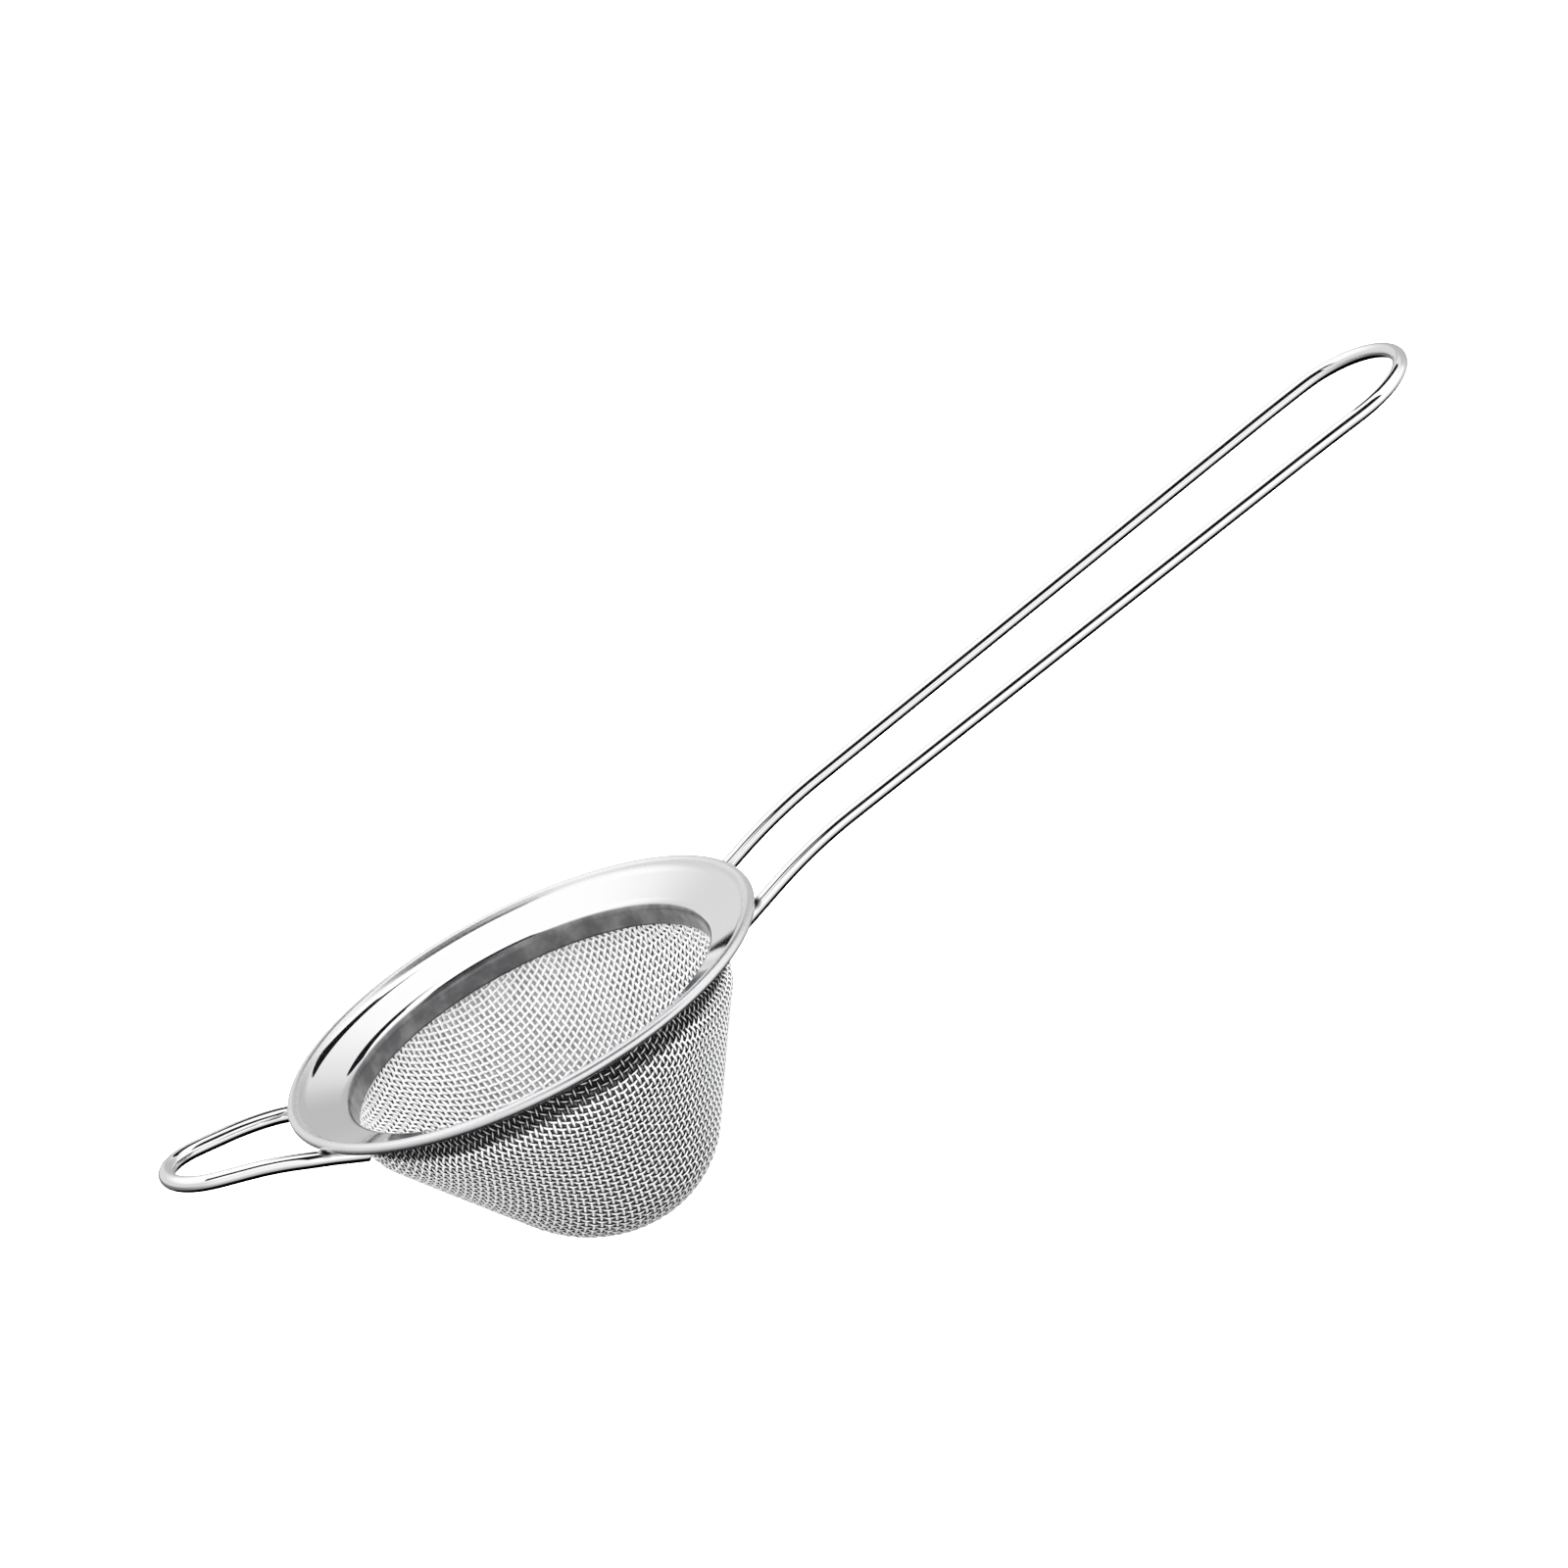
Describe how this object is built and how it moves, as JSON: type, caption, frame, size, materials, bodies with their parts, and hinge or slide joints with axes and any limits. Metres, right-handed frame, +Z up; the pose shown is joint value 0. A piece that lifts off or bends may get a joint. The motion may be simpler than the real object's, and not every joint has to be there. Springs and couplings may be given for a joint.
{
  "type": "tea strainer",
  "caption": "Conical woven-wire tea strainer with a dished rim ring, a long wire loop handle and a short wire rest opposite it.",
  "frame": {"origin": "centre of the rolled bead's ring, on the bead's centre plane", "axes": "+Z up out of the basket's mouth, +X along the handle towards its end loop; XZ is the mirror plane"},
  "size_m": [0.2313, 0.08, 0.0644],
  "materials": {
    "rim_steel": "polished stainless steel sheet",
    "wire_cloth": "bright drawn stainless steel wire, woven",
    "wire_steel": "polished stainless steel wire"
  },
  "bodies": {
    "root": {"rim_ring": "rim_steel", "mesh_basket": "wire_cloth", "handle_wire": "wire_steel", "rest_wire": "wire_steel"}
  },
  "joints": []
}
